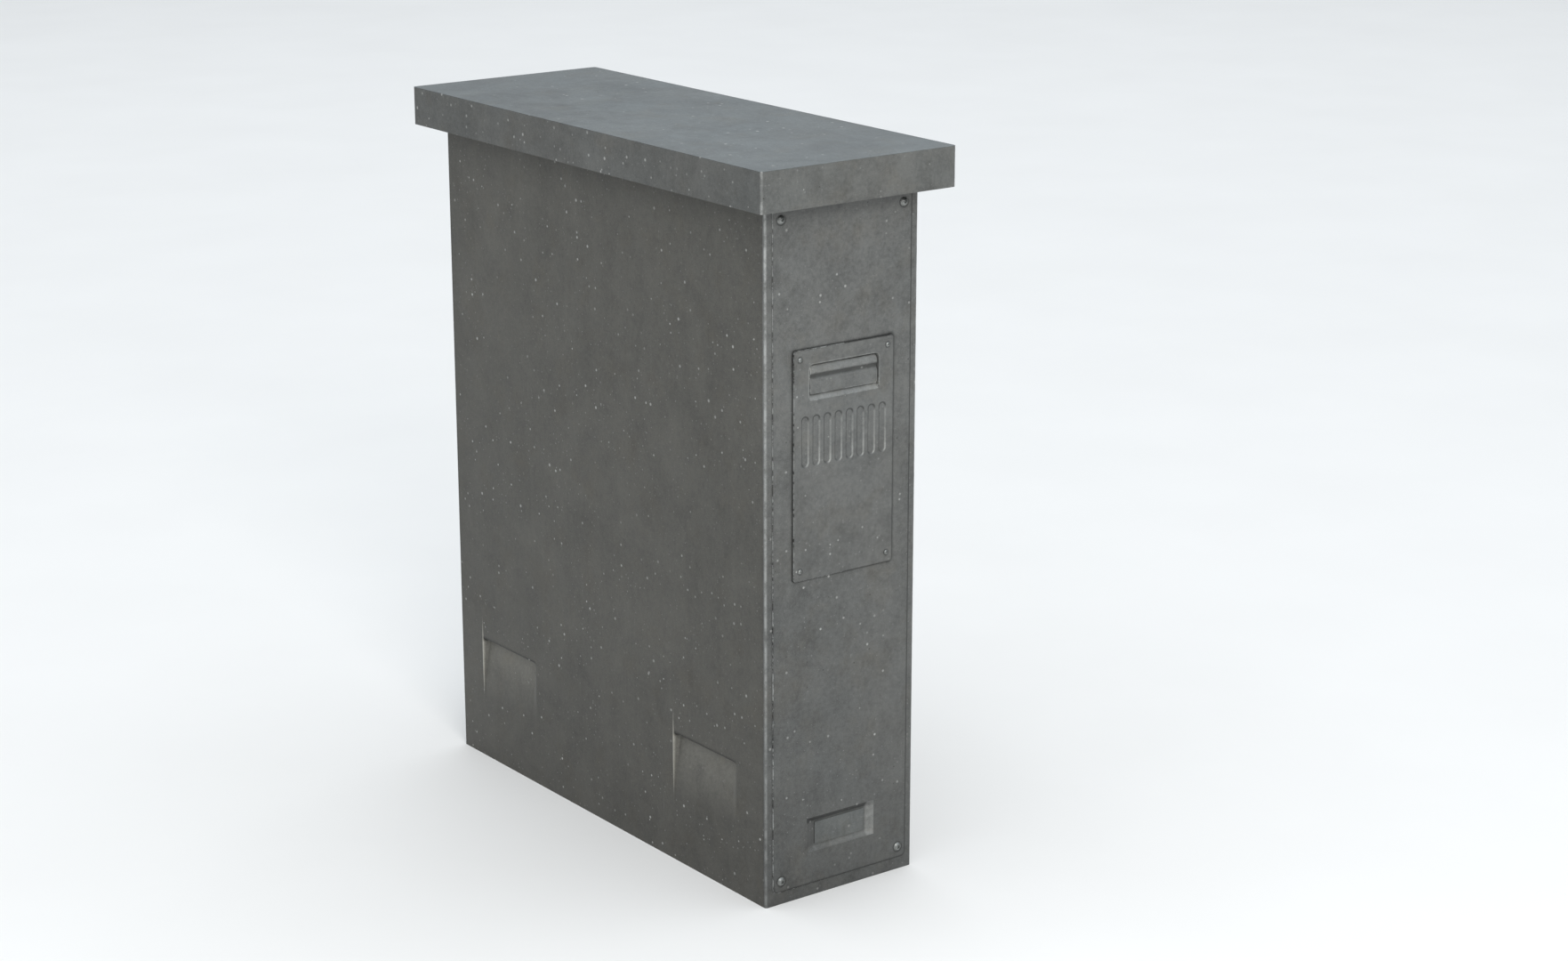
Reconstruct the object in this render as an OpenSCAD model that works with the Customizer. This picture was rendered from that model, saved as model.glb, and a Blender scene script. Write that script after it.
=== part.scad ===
// Book drop box: a tall, narrow cabinet of folded sheet steel.
// A tilting hopper in the narrow front face takes the books, a cart with a sprung
// floor catches them, and a locked door in the back lets the cart out.
// Millimetres. +Z is up, the origin is on the floor under the middle of the lid,
// and the narrow front face looks towards -Y.

/* [Cabinet] */
// Width of the body
body_width = 300; // [300:1:320]
// Depth of the body, front to back
body_depth = 925; // [920:5:990]
// Height of the whole box, lid included
total_height = 1210; // [1205:5:1300]
// Thickness of the body sheet
sheet = 2; // [1.6:0.1:2.2]
// Outer bend radius of the upright corners
bend_radius = 4; // [3:0.5:5]

/* [Lid] */
// Overhang of the lid past each long side
lid_side_overhang = 39; // [30:1:50]
// Overhang of the lid past the front and the back
lid_end_overhang = 44; // [42:1:60]
// Height of the lid skirt
lid_skirt = 65; // [50:1:68]
// Width of the hem turned in at the foot of the skirt
lid_hem = 12; // [6:1:18]

/* [Front panel] */
// Width of the raised front panel
panel_width = 273; // [268:1:280]
// Height of the lower edge of the panel
panel_bottom = 21; // [15:1:24]
// Height of the upper edge of the panel
panel_top = 1142; // [1130:1:1143]
// Corner radius of the panel
panel_corner = 9; // [5:1:14]
// Head diameter of the panel screws
panel_screw_head = 14.5; // [13:0.5:16]
// Width of the label recess at the face
label_width = 138; // [120:1:150]
// Height of the label recess at the face
label_height = 60; // [50:1:66]
// Depth of the label recess
label_depth = 5; // [3:0.5:6]

/* [Hopper] */
// Width of the hopper face plate
face_width = 197; // [195:1:199]
// Height of the lower edge of the face plate
face_bottom = 542; // [541:0.5:543]
// Height of the upper edge of the face plate
face_top = 915; // [914:0.5:917]
// Opening angle of the hopper
hopper_open = 40; // [38:1:42]
// Radius from the hinge to the open rim of the bucket
bucket_radius = 345; // [335:1:346]
// Slope of the bucket tray when the hopper is shut
tray_angle = 31; // [28:1:34]
// Number of pressed flutes under the handle
flute_count = 8; // [5:1:8]
// Width of one flute
flute_width = 15; // [12:0.5:16]
// Depth of the dish behind the grip
handle_depth = 6; // [5:0.5:6.5]

/* [Hand scoops] */
// Length of a scoop along the side
scoop_length = 176; // [140:2:180]
// Depth of a scoop at its lip
scoop_depth = 11; // [6:0.5:12]
// Height of the deepest line of a scoop
scoop_lip = 220; // [200:1:240]
// Height where the ramp of a scoop runs out
scoop_foot = 115; // [90:1:130]

/* [Rear door] */
// Width of the rear door
door_width = 280; // [276:1:281]
// Height of the T-handle above the floor
lock_height = 600; // [560:5:640]
// Length of the T-handle bar
t_bar = 84; // [70:2:90]

/* [Cart] */
// Width of the book cart
cart_width = 248; // [236:2:248]
// Length of the book cart
cart_length = 800; // [760:5:800]
// Wheel radius
wheel_radius = 25; // [24:0.5:25]
// Height of the sprung floor when it is empty
platform_height = 300; // [280:5:320]
// Turns of each floor spring
spring_turns = 5; // [3:1:6]

/* [Hidden] */
$fn = 48;
half_w = body_width / 2;
front_y = -body_depth / 2;
back_y = body_depth / 2;
eps = 0.01;

gasket = 3;
top_z = total_height - sheet - gasket;
flange = 24;
return_depth = 26;
lid_w = body_width + 2 * lid_side_overhang;
lid_d = body_depth + 2 * lid_end_overhang;
floor_t = 3;

panel_t = 2;
panel_front = front_y - panel_t;
panel_screw_x = 120;
panel_screw_zs = [40, 1123];
window_half = 92;
window_bottom = 549;
window_top = 906;
label_bottom = 76;
label_bevel_x = 17;
label_bevel_z = 9;

face_t = 2;
seal_t = 2;
face_back = panel_front - seal_t;
face_front = face_back - face_t;
face_screw_x = 86.5;
face_screw_zs = [558, 900];
handle_half = 69;
handle_top = 890;
handle_bottom = 832;
grip_top = 888;
grip_foot = 841.4;
grip_nose_z = 875;
grip_nose_depth = 0.5;
grip_under = 14;
grip_hollow = 3;
grip_gap = 2.5;
sill_rise = 9;
flute_bottom = 726;
flute_top = 809;
flute_pitch = 153 / 7;
flute_depth = 1.8;
skin_t = 1.5;

hinge_y = front_y + 12.5;
hinge_z = 536;
rod_r = 4;
fit = 0.05;
cheek_in = 80.5;
cheek_out = 82;
cheek_flange = 91;
notch_r = 21;
lug_r = 11;
bush_r = 6.5;
tray_start = [-15, 36];
tray_dir = [cos(tray_angle), -sin(tray_angle)];
tray_down = [-sin(tray_angle), -cos(tray_angle)];
tray_dot = tray_start * tray_dir;
tray_run = sqrt(pow(tray_dot, 2) + pow(bucket_radius, 2) - tray_start * tray_start) - tray_dot;
bumper_t = 4;
baffle_r = 350;
baffle_half = 78;
baffle_from = 12;
baffle_to = 80;
baffle_roof = 392;
stud_r = 2;

door_t = 2;
door_gap = 2;
door_in = back_y + door_gap;
door_out = door_in + door_t;
door_bottom = 8;
door_top = 1135;
pan_half = 127;
pan_depth = 18;
door_hinge_x = half_w - 4;
door_hinge_y = back_y + 5.5;
knuckle_r = 4;
hinge_pin_r = 2;
hinge_h = 60;
hinge_zs = [130, 552, 975];
lock_x = -100;
spindle_r = 6;
cam_y = door_in - pan_depth - 5.5;
cam_t = 4;
keeper_t = 2;

cart_half = cart_width / 2;
cart_front = front_y + 37.5;
cart_back = cart_front + cart_length;
cart_mid = (cart_front + cart_back) / 2;
tub_floor = 90;
tub_t = 2.5;
tub_corner = 20;
tub_front_rim = 350;
tub_back_rim = 620;
slope_from = front_y + 342.5;
slope_to = front_y + 402.5;
bead_h = 8;
bead_t = 2.5;
caster_x = 79;
swivel_y = cart_front + 85;
trail = 15;
rigid_y = cart_back - 75;
axle_z = floor_t + 0.3 + wheel_radius;
axle_r = 4;
chassis_z = 65;
crown_z = 56;
platform_t = 3;
pad_t = 3;

lid_stud_x = half_w - 11;
lid_stud_ys = [-400, -135, 135, 400];
anchor_x = 115;
anchor_y = 395;
anchor_r = 6.5;
bracket_stud_zs = [529, 543];
baffle_stud_xs = [-55, 0, 55];

paint = [0.42, 0.43, 0.42];
paint_dark = [0.34, 0.35, 0.34];
steel = [0.70, 0.71, 0.72];
rubber = [0.13, 0.13, 0.13];
plastic = [0.25, 0.30, 0.36];
brass = [0.72, 0.60, 0.36];

// ---------- shared shapes ----------

module block(x0, x1, y0, y1, z0, z1) {
    translate([x0, y0, z0])
        cube([x1 - x0, y1 - y0, z1 - z0]);
}

module both_sides() {
    children();
    mirror([1, 0, 0])
        children();
}

module round_rect(w, h, r) {
    square([w - 2 * r, h], center = true);
    square([w, h - 2 * r], center = true);
    for (sx = [-1, 1], sy = [-1, 1])
        translate([sx * (w / 2 - r), sy * (h / 2 - r)])
            circle(r = r);
}

// Upright plate with rounded corners, thick from y0 to y1
module upright(w, z0, z1, r, y0, y1) {
    translate([0, y1, (z0 + z1) / 2])
        rotate([90, 0, 0])
            linear_extrude(y1 - y0)
                round_rect(w, z1 - z0, r);
}

// Outline drawn as (y, z) and drawn out from x0 to x1
module side_profile(x0, x1) {
    translate([x0, 0, 0])
        rotate([90, 0, 90])
            linear_extrude(x1 - x0)
                children();
}

// Outline drawn as (x, z) and drawn out from y0 to y1
module end_profile(y0, y1) {
    translate([0, y1, 0])
        rotate([90, 0, 0])
            linear_extrude(y1 - y0)
                children();
}

module x_rod(y, z, r, x0, x1) {
    translate([x0, y, z])
        rotate([0, 90, 0])
            cylinder(r = r, h = x1 - x0);
}

module y_rod(x, z, r, y0, y1, sides = 48) {
    translate([x, y1, z])
        rotate([90, 0, 0])
            cylinder(r = r, h = y1 - y0, $fn = sides);
}

// Button head with a hexagon socket, its seat on y = 0 and its crown towards -y
module button_head(r, h, socket) {
    ball = (r * r + h * h) / (2 * h);
    difference() {
        intersection() {
            translate([0, ball - h, 0])
                sphere(r = ball, $fn = 64);
            y_rod(0, 0, r, -h, 0);
        }
        y_rod(0, 0, socket, -h - 1, -h * 0.35, 6);
    }
}

// ---------- cabinet shell ----------

// Plan of an end frame: face on y = 0, cabinet towards +y, returns inside the side sheets
module frame_plan() {
    translate([-(half_w - bend_radius), 0])
        square([2 * (half_w - bend_radius), sheet]);
    for (s = [0, 1])
        mirror([s, 0]) {
            translate([half_w - bend_radius, bend_radius])
                intersection() {
                    difference() {
                        circle(r = bend_radius);
                        circle(r = bend_radius - sheet);
                    }
                    translate([0, -bend_radius])
                        square([bend_radius, bend_radius]);
                }
            translate([half_w - 2 * sheet, bend_radius])
                square([2 * sheet, sheet]);
            translate([half_w - 2 * sheet, bend_radius])
                square([sheet, return_depth]);
        }
}

module frame_shell() {
    linear_extrude(top_z - sheet)
        frame_plan();
    inner = half_w - flange - 0.5;
    block(-(half_w - bend_radius), half_w - bend_radius, 0, sheet, top_z - sheet - eps, top_z);
    block(-inner, inner, 0, flange, top_z - sheet, top_z);
}

module front_frame() {
    color(paint)
        difference() {
            translate([0, front_y, 0])
                frame_shell();
            block(-108, 108, front_y - 1, front_y + sheet + 1, 60, 1100);
            for (z = panel_screw_zs)
                both_sides()
                    y_rod(panel_screw_x, z, 5.6, front_y - 1, front_y + sheet + 1);
        }
}

module rear_frame() {
    color(paint)
        difference() {
            translate([0, back_y, 0])
                mirror([0, 1, 0])
                    frame_shell();
            block(-130, 130, back_y - sheet - 1, back_y + 1, -1, 1100);
        }
}

module base_pan() {
    color(paint_dark)
        difference() {
            union() {
                block(-(half_w - sheet), half_w - sheet, front_y + 31, back_y - 31, 0, floor_t);
                block(-(half_w - 2 * sheet), half_w - 2 * sheet, front_y + sheet, back_y - sheet, 0, floor_t);
                block(-130, 130, back_y - sheet - eps, back_y, 0, floor_t);
                both_sides()
                    block(half_w - 2 * sheet, half_w - sheet, front_y + 31, back_y - 31, 0, 28);
                block(-(half_w - 2 * sheet), half_w - 2 * sheet, front_y + sheet, front_y + 2 * sheet, 0, 28);
            }
            for (y = [-anchor_y, anchor_y])
                both_sides()
                    translate([anchor_x, y, -1])
                        cylinder(r = anchor_r, h = floor_t + 2);
        }
}

ramp_steps = 12;
function ramp_points(shift) = [for (i = [0 : ramp_steps])
    [shift + scoop_depth * pow(1 - i / ramp_steps, 2.5),
     scoop_lip - (scoop_lip - scoop_foot) * i / ramp_steps]];

// Hand scoop on the left side: steep lip on top, long ramp that runs out below
module scoop_cut(y0, y1) {
    translate([-half_w, 0, 0])
        end_profile(y0, y1)
            polygon(concat([[-1, scoop_lip + 14], [0, scoop_lip + 14]],
                ramp_points(0), [[-1, scoop_foot]]));
}

module scoop_back(y0, y1) {
    translate([-half_w, 0, 0])
        end_profile(y0 - sheet, y1 + sheet)
            polygon(concat([[sheet / 2, scoop_lip + 17], [sheet, scoop_lip + 17],
                [sheet + scoop_depth, scoop_lip + 1.5]],
                ramp_points(sheet), [[sheet / 2, scoop_foot - 1]]));
}

module side_sheet() {
    starts = [front_y + 78, back_y - 74 - scoop_length];
    difference() {
        union() {
            block(-half_w, -half_w + sheet, front_y + bend_radius + sheet + 0.4,
                back_y - bend_radius - sheet - 0.4, 0, top_z);
            block(-half_w, -half_w + flange, front_y + bend_radius + sheet + 0.4,
                back_y - bend_radius - sheet - 0.4, top_z - sheet, top_z);
            for (y = starts)
                scoop_back(y, y + scoop_length);
        }
        for (y = starts)
            scoop_cut(y, y + scoop_length);
        for (y = lid_stud_ys)
            translate([-lid_stud_x, y, top_z - sheet - 1])
                cylinder(r = 3.2, h = sheet + 2);
    }
}

module side_left() {
    color(paint)
        side_sheet();
}

module side_right() {
    color(paint)
        mirror([1, 0, 0])
            side_sheet();
}

// ---------- lid ----------

module lid() {
    foot = total_height - lid_skirt;
    color(paint)
        difference() {
            translate([0, 0, foot])
                linear_extrude(lid_skirt)
                    round_rect(lid_w, lid_d, 5);
            translate([0, 0, foot + sheet])
                linear_extrude(lid_skirt - 2 * sheet)
                    round_rect(lid_w - 2 * sheet, lid_d - 2 * sheet, 5 - sheet);
            translate([0, 0, foot - 1])
                linear_extrude(sheet + 2)
                    round_rect(lid_w - 2 * lid_hem, lid_d - 2 * lid_hem, 3);
        }
}

module lid_gasket() {
    color(rubber)
        difference() {
            block(-half_w, half_w, front_y, back_y, top_z, top_z + gasket);
            block(-half_w + flange - 2, half_w - flange + 2, front_y + flange - 2,
                back_y - flange + 2, top_z - 1, top_z + gasket + 1);
            for (y = lid_stud_ys)
                both_sides()
                    translate([lid_stud_x, y, top_z - 1])
                        cylinder(r = 3.2, h = gasket + 2);
        }
}

module lid_studs() {
    color(steel)
        for (y = lid_stud_ys)
            both_sides()
                translate([lid_stud_x, y, 0]) {
                    translate([0, 0, top_z - 12])
                        cylinder(r = 3, h = 12 + gasket);
                    translate([0, 0, top_z - sheet - 5])
                        cylinder(r = 5.7, h = 5, $fn = 6);
                }
}

// ---------- front panel ----------

// Tapered pocket from the face at y_face to a smaller floor, widened by grow
module label_pocket(y_face, depth, grow, ahead) {
    ow = label_width / 2 + grow;
    iw = ow - label_bevel_x;
    zb = label_bottom - grow;
    zt = label_bottom + label_height + grow;
    intersection() {
        translate([0, 0, zb])
            linear_extrude(zt - zb)
                polygon([[-ow, y_face - ahead], [-ow, y_face], [-iw, y_face + depth],
                    [iw, y_face + depth], [ow, y_face], [ow, y_face - ahead]]);
        side_profile(-ow, ow)
            polygon([[y_face - ahead, zb], [y_face, zb], [y_face + depth, zb + label_bevel_z],
                [y_face + depth, zt - label_bevel_z], [y_face, zt], [y_face - ahead, zt]]);
    }
}

module front_panel() {
    color(paint)
        difference() {
            union() {
                upright(panel_width, panel_bottom, panel_top, panel_corner, panel_front, front_y);
                label_pocket(panel_front + 1, label_depth + panel_t - 1, 1.5, 0.5);
            }
            label_pocket(panel_front, label_depth, 0, 1);
            upright(2 * window_half, window_bottom, window_top, 3, panel_front - 1, front_y + 1);
            for (z = panel_screw_zs)
                both_sides() {
                    y_rod(panel_screw_x, z, 4.3, panel_front - 1, front_y + 1);
                    y_rod(panel_screw_x, z, 9.5, panel_front - 1, panel_front + 0.6);
                }
        }
}

module label_plate() {
    color(paint_dark)
        upright(label_width - 2 * label_bevel_x - 4, label_bottom + label_bevel_z + 2,
            label_bottom + label_height - label_bevel_z - 2, 2,
            panel_front + label_depth - 1.4, panel_front + label_depth);
}

module panel_screws() {
    color(steel)
        for (z = panel_screw_zs)
            both_sides() {
                translate([panel_screw_x, panel_front + 0.6, z])
                    button_head(panel_screw_head / 2, 4, 2.9);
                y_rod(panel_screw_x, z, 4, panel_front + 0.6 - eps, front_y + 20);
            }
}

module panel_nuts() {
    color(steel)
        for (z = panel_screw_zs)
            both_sides()
                difference() {
                    union() {
                        y_rod(panel_screw_x, z, 5.5, front_y, front_y + 16);
                        y_rod(panel_screw_x, z, 7.5, front_y + sheet, front_y + sheet + 1.2);
                    }
                    y_rod(panel_screw_x, z, 4.1, front_y - 1, front_y + 17);
                }
}

module hopper_seal() {
    color(rubber)
        difference() {
            upright(face_width - 6, face_bottom + 3, face_top - 3, 4, panel_front - 1.8, panel_front);
            upright(2 * window_half, window_bottom, window_top, 3, panel_front - 3, panel_front + 1);
        }
}

// ---------- hopper hinge, stops and baffle ----------

module hinge_brackets() {
    color(paint_dark)
        both_sides()
            difference() {
                union() {
                    block(93, 96, front_y, front_y + 24, 523, 549);
                    block(96 - eps, 107.5, front_y, front_y + 2.5, 523, 549);
                }
                x_rod(hinge_y, hinge_z, rod_r + fit, 92, 97);
                for (z = bracket_stud_zs)
                    y_rod(102, z, stud_r + 0.2, front_y - 1, front_y + 4);
            }
}

module bracket_nuts() {
    color(steel)
        for (z = bracket_stud_zs)
            both_sides() {
                y_rod(102, z, stud_r, front_y, front_y + 6.5);
                y_rod(102, z, 4, front_y + 2.5, front_y + 5.7, 6);
            }
}

module hinge_rod() {
    color(steel) {
        x_rod(hinge_y, hinge_z, rod_r, -98.5, 98.5);
        both_sides()
            x_rod(hinge_y, hinge_z, 5.5, 97, 99.5);
    }
}

module baffle() {
    back = baffle_r * cos(baffle_to);
    face = front_y - hinge_y;
    color(paint_dark)
        difference() {
            translate([0, hinge_y, hinge_z])
                side_profile(-baffle_half, baffle_half) {
                    intersection() {
                        difference() {
                            circle(r = baffle_r + skin_t, $fn = 180);
                            circle(r = baffle_r, $fn = 180);
                        }
                        polygon([[0, 0], 2 * baffle_r * [cos(baffle_from), sin(baffle_from)],
                            2 * baffle_r * [1, 1], 2 * baffle_r * [cos(baffle_to), sin(baffle_to)]]);
                    }
                    translate([back, baffle_r * sin(baffle_to) - 1])
                        square([skin_t, baffle_roof + skin_t - baffle_r * sin(baffle_to) + 1]);
                    translate([face, baffle_roof])
                        square([back - face + skin_t, skin_t]);
                    translate([face, baffle_roof])
                        square([skin_t, 20]);
                }
            for (x = baffle_stud_xs)
                y_rod(x, hinge_z + baffle_roof + 11, stud_r + 0.2, front_y - 1, front_y + 4);
        }
}

module baffle_nuts() {
    z = hinge_z + baffle_roof + 11;
    color(steel)
        for (x = baffle_stud_xs) {
            y_rod(x, z, stud_r, front_y, front_y + 7);
            y_rod(x, z, 4, front_y + skin_t, front_y + skin_t + 3.2, 6);
        }
}

module stop_bumpers() {
    color(rubber)
        both_sides()
            block(76, 87, front_y, front_y + bumper_t, 908, 921);
}

// Sheet that leads books off the side wall into the cart
module deflector() {
    wall = half_w - sheet;
    end_profile(front_y + 372, back_y - 33)
        polygon([[wall, 740], [wall - skin_t, 740], [wall - skin_t, 702.5], [116, 649],
            [117.3, 648.2], [wall, 701]]);
}

module deflector_left() {
    color(paint_dark)
        mirror([1, 0, 0])
            deflector();
}

module deflector_right() {
    color(paint_dark)
        deflector();
}

// ---------- hopper ----------

module dish_outline(deeper, wider) {
    polygon([[-1 + wider, handle_top + wider], [handle_depth + deeper, handle_top + wider],
        [handle_depth + deeper, handle_bottom + sill_rise - wider], [deeper, handle_bottom - wider],
        [-1 + wider, handle_bottom - wider]]);
}

module handle_cut() {
    intersection() {
        translate([0, face_front, 0])
            side_profile(-handle_half, handle_half)
                dish_outline(0, 0);
        upright(2 * handle_half, handle_bottom, handle_top, 8, face_front - 2, face_front + 12);
    }
}

module handle_back() {
    intersection() {
        translate([0, face_front, 0])
            side_profile(-handle_half - skin_t, handle_half + skin_t)
                dish_outline(skin_t, skin_t);
        upright(2 * (handle_half + skin_t), handle_bottom - skin_t, handle_top + skin_t, 9,
            face_front - 2, face_front + 12);
    }
}

curve_steps = 6;
// Front of the grip as (depth, z), from its top down: a roll that faces upwards, a
// hollow under the nose of the roll, then a flat apron
function roll_points() = [for (i = [0 : curve_steps])
    let (t = i / curve_steps)
    [grip_nose_depth + (handle_depth - grip_nose_depth - 0.3) * (1 - sin(90 * t)),
     grip_top + (grip_nose_z - grip_top) * t]];
function hollow_points() = [for (i = [1 : 2 * curve_steps])
    let (t = i / (2 * curve_steps))
    [grip_nose_depth + grip_hollow * (1 - cos(360 * t)) / 2, grip_nose_z - grip_under * t]];

module grip_insert() {
    color(paint)
        intersection() {
            translate([0, face_front, 0])
                side_profile(-handle_half + grip_gap, handle_half - grip_gap)
                    polygon(concat([[handle_depth, grip_top]], roll_points(), hollow_points(),
                        [[grip_nose_depth, grip_foot], [handle_depth, grip_foot]]));
            upright(2 * (handle_half - grip_gap), grip_foot, grip_top, 5, face_front - 2, face_front + 12);
        }
}

module flutes(w, y0, y1, longer) {
    for (i = [0 : flute_count - 1])
        translate([(i - (flute_count - 1) / 2) * flute_pitch, 0, 0])
            upright(w, flute_bottom - longer, flute_top + longer, w / 2 - 0.05, y0, y1);
}

module hopper_face() {
    color(paint)
        difference() {
            union() {
                upright(face_width, face_bottom, face_top, 5, face_front, face_back);
                handle_back();
                flutes(flute_width + 2, face_back - 1, face_back + 1.3, 1);
            }
            handle_cut();
            flutes(flute_width, face_front - 1, face_front + flute_depth, 0);
            for (z = face_screw_zs)
                both_sides()
                    y_rod(face_screw_x, z, stud_r + 0.2, face_front - 1, face_back + 1);
        }
}

module face_screws() {
    color(steel)
        for (z = face_screw_zs)
            both_sides() {
                translate([face_screw_x, face_front, z])
                    button_head(3.9, 2.2, 1.5);
                y_rod(face_screw_x, z, stud_r, face_front - eps, face_back + 6.5);
                y_rod(face_screw_x, z, 3.6, face_back + skin_t, face_back + skin_t + 3, 6);
            }
}

function under_tray(t, drop) = tray_start + t * tray_dir + drop * tray_down;

// Cheek outline about the hinge, as (y, z)
module cheek_outline() {
    front = face_back - hinge_y;
    difference() {
        intersection() {
            circle(r = bucket_radius, $fn = 180);
            polygon([[front, 15], [front, bucket_radius + 60], [bucket_radius + 80, bucket_radius + 60],
                under_tray(440, 4), under_tray(62, 4)]);
        }
        circle(r = notch_r);
    }
    polygon([[3, -4], [10, -4], [38, 0], [38, 10], [24, 24], [4, 24]]);
    circle(r = lug_r);
    rotate(-hopper_open)
        translate([front_y - hinge_y + bumper_t + 0.2, bucket_radius - 45])
            square([14, 84]);
}

module cheek() {
    difference() {
        translate([0, hinge_y, hinge_z]) {
            side_profile(cheek_in, cheek_out)
                cheek_outline();
            x_rod(0, 0, lug_r, 76, 91);
            block(cheek_out - eps, cheek_flange, face_back - hinge_y, face_back - hinge_y + skin_t, 15, 368);
        }
        x_rod(hinge_y, hinge_z, bush_r, 70, 95);
        flutes(flute_width + 3, face_back - 1, face_back + 1.6, 2);
        for (z = face_screw_zs)
            y_rod(face_screw_x, z, stud_r + 0.2, face_back - 1, face_back + 3);
    }
}

module cheek_right() {
    color(paint_dark)
        cheek();
}

module cheek_left() {
    color(paint_dark)
        mirror([1, 0, 0])
            cheek();
}

module hopper_tray() {
    front = face_back - hinge_y;
    color(paint_dark)
        translate([0, hinge_y, hinge_z])
            side_profile(-cheek_in, cheek_in)
                polygon([[front, 75], [front + skin_t, 75], tray_start + [0, 0.6], under_tray(tray_run, 0),
                    under_tray(tray_run, skin_t), [front, 33.5]]);
}

module hinge_bushes() {
    color(brass)
        both_sides()
            difference() {
                x_rod(hinge_y, hinge_z, bush_r, 75.5, 92.5);
                x_rod(hinge_y, hinge_z, rod_r + fit, 75, 93);
            }
}

// ---------- rear door and lock ----------

module rear_seal() {
    color(rubber) {
        both_sides()
            block(131, 137, back_y, back_y + 1.8, 10, 1107);
        block(-131, 131, back_y, back_y + 1.8, 1101, 1107);
    }
}

module door_skin() {
    color(paint)
        difference() {
            upright(door_width, door_bottom, door_top, 6, door_in, door_out);
            y_rod(lock_x, lock_height, 13.1, door_in - 1, door_out + 1);
        }
}

module door_stiffener() {
    z0 = 14;
    z1 = 1083;
    color(paint_dark)
        difference() {
            upright(2 * pan_half, z0, z1, 4, door_in - pan_depth, door_in);
            upright(2 * pan_half - 4, z0 + 2, z1 - 2, 3, door_in - pan_depth + 2, door_in + 1);
            upright(2 * pan_half - 34, z0 + 17, z1 - 17, 3, door_in - pan_depth - 1, door_in);
        }
}

module frame_hinge_leaves() {
    color(paint_dark)
        for (z = hinge_zs)
            difference() {
                union() {
                    block(142, half_w - 0.5, back_y, back_y + 1.2, z, z + hinge_h);
                    for (a = [z, z + 40.3]) {
                        block(door_hinge_x - 2, door_hinge_x + 2, back_y, door_hinge_y, a, a + 19.7);
                        translate([door_hinge_x, door_hinge_y, a])
                            cylinder(r = knuckle_r, h = 19.7);
                    }
                }
                translate([door_hinge_x, door_hinge_y, z - 1])
                    cylinder(r = hinge_pin_r + fit, h = hinge_h + 2);
            }
}

module rear_hinge_pins() {
    color(steel)
        for (z = hinge_zs)
            translate([door_hinge_x, door_hinge_y, z - 1]) {
                cylinder(r = hinge_pin_r, h = hinge_h + 2);
                translate([0, 0, hinge_h + 1])
                    cylinder(r = 3, h = 1.5);
            }
}

module door_hinge_leaves() {
    color(paint_dark)
        for (z = hinge_zs)
            difference() {
                union() {
                    block(117, 141.4, door_out, door_out + 2, z, z + hinge_h);
                    block(141, door_hinge_x, door_out, door_out + 2, z + 20.3, z + 39.7);
                    translate([door_hinge_x, door_hinge_y, z + 20.3])
                        cylinder(r = knuckle_r, h = 19.4);
                }
                translate([door_hinge_x, door_hinge_y, z - 1])
                    cylinder(r = hinge_pin_r + fit, h = hinge_h + 2);
            }
}

module lock_keeper() {
    wall = half_w - 2 * sheet;
    color(steel) {
        block(-wall, -wall + keeper_t, back_y - 27, back_y - 5, lock_height - 25, lock_height + 25);
        block(-wall, -131, door_in - pan_depth, door_in - pan_depth + keeper_t,
            lock_height - 25, lock_height + 25);
    }
}

module lock_body() {
    color(steel)
        difference() {
            union() {
                y_rod(lock_x, lock_height, 28, door_out, door_out + 5.5);
                y_rod(lock_x, lock_height, 13, door_in - 15, door_out + 1);
            }
            y_rod(lock_x, lock_height, spindle_r + fit, door_in - 16, door_out + 7);
        }
}

module lock_spindle() {
    color(steel)
        y_rod(lock_x, lock_height, spindle_r, cam_y - 6, door_out + 17);
}

module t_handle() {
    color(steel)
        difference() {
            union() {
                y_rod(lock_x, lock_height, 12, door_out + 5.8, door_out + 19);
                translate([lock_x, 0, 0])
                    upright(16, lock_height - t_bar / 2, lock_height + t_bar / 2, 7.9,
                        door_out + 18, door_out + 33);
            }
            y_rod(lock_x, lock_height, spindle_r, door_out, door_out + 17);
        }
}

module lock_cam() {
    color(steel)
        difference() {
            translate([lock_x, 0, 0])
                upright(18, lock_height - 40, lock_height + 10, 6, cam_y, cam_y + cam_t);
            y_rod(lock_x, lock_height, spindle_r, cam_y - 1, cam_y + cam_t + 1);
        }
}

module cam_nut() {
    color(steel)
        difference() {
            y_rod(lock_x, lock_height, 9.5, cam_y - 5, cam_y, 6);
            y_rod(lock_x, lock_height, spindle_r, cam_y - 6, cam_y + 1);
        }
}

// ---------- cart ----------

module cart_base() {
    w = cart_half - 6;
    y0 = cart_front + 25;
    y1 = cart_back - 20;
    color(paint_dark) {
        difference() {
            block(-w, w, y0, y1, chassis_z, tub_floor);
            block(-w + 2, w - 2, y0 + 2, y1 - 2, chassis_z - 1, tub_floor - 3);
        }
        for (y = [swivel_y, rigid_y])
            block(-w + 1, w - 1, y - 42, y + 42, chassis_z, chassis_z + 2.5);
    }
}

// Side view of the tub as (y, z): low at the front, under the hopper, high behind it
module tub_side(inset, lift) {
    polygon([[cart_front - 5, tub_floor + inset], [cart_back + 5, tub_floor + inset],
        [cart_back + 5, tub_back_rim + lift], [slope_to, tub_back_rim + lift],
        [slope_from, tub_front_rim + lift], [cart_front - 5, tub_front_rim + lift]]);
}

module tub_plan(grow) {
    translate([0, cart_mid, 0])
        linear_extrude(tub_back_rim + 50)
            round_rect(cart_width + 2 * grow, cart_length + 2 * grow, tub_corner + grow);
}

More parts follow.
